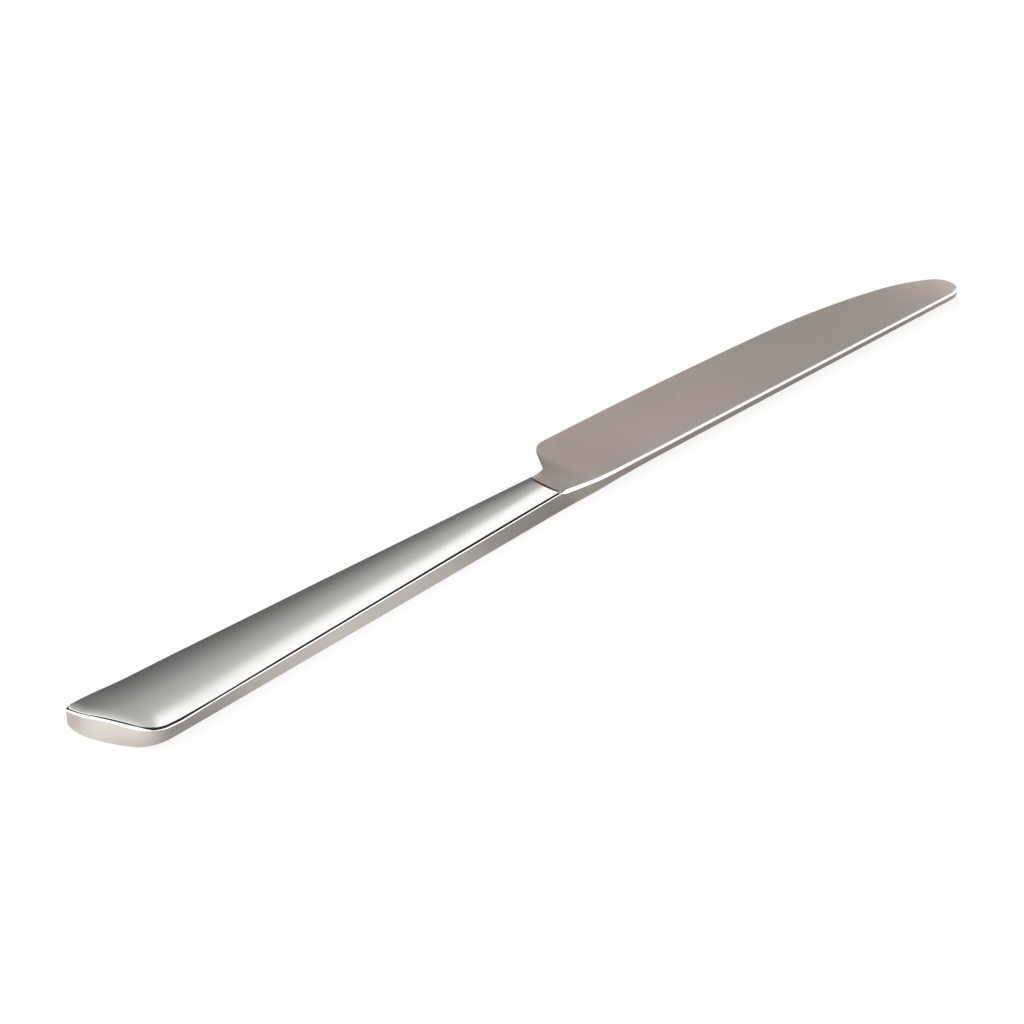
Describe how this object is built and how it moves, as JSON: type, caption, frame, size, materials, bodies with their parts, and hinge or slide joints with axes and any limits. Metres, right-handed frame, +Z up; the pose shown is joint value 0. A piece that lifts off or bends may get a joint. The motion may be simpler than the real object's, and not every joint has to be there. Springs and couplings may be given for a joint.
{
  "type": "table knife",
  "caption": "Hollow-handle table knife: satin round-tipped blade on a bolster, set in a tapering mirror-bright handle with a slanted butt.",
  "frame": {"origin": "centre of the flat land on the underside of the handle, halfway along the handle, on the plane that the knife rests on", "axes": "+X along the knife from its butt to its tip, +Y towards the cutting edge, +Z up, across the thickness, with the knife lying on its side"},
  "size_m": [0.2331, 0.022, 0.0047],
  "materials": {
    "satin_steel": "fine satin, ground along the blade",
    "polished_steel": "mirror polish on the crowned faces, satin on the side walls",
    "braze": "silver braze ground flush",
    "dark_braze": "darkened braze in a fine sunk line",
    "setting_compound": "dull hardened cement"
  },
  "bodies": {
    "root": {"blade": "satin_steel", "upper_shell": "polished_steel", "lower_shell": "polished_steel", "seam_braze": "braze", "mouth_braze": "dark_braze", "handle_filler": "setting_compound"}
  },
  "joints": []
}
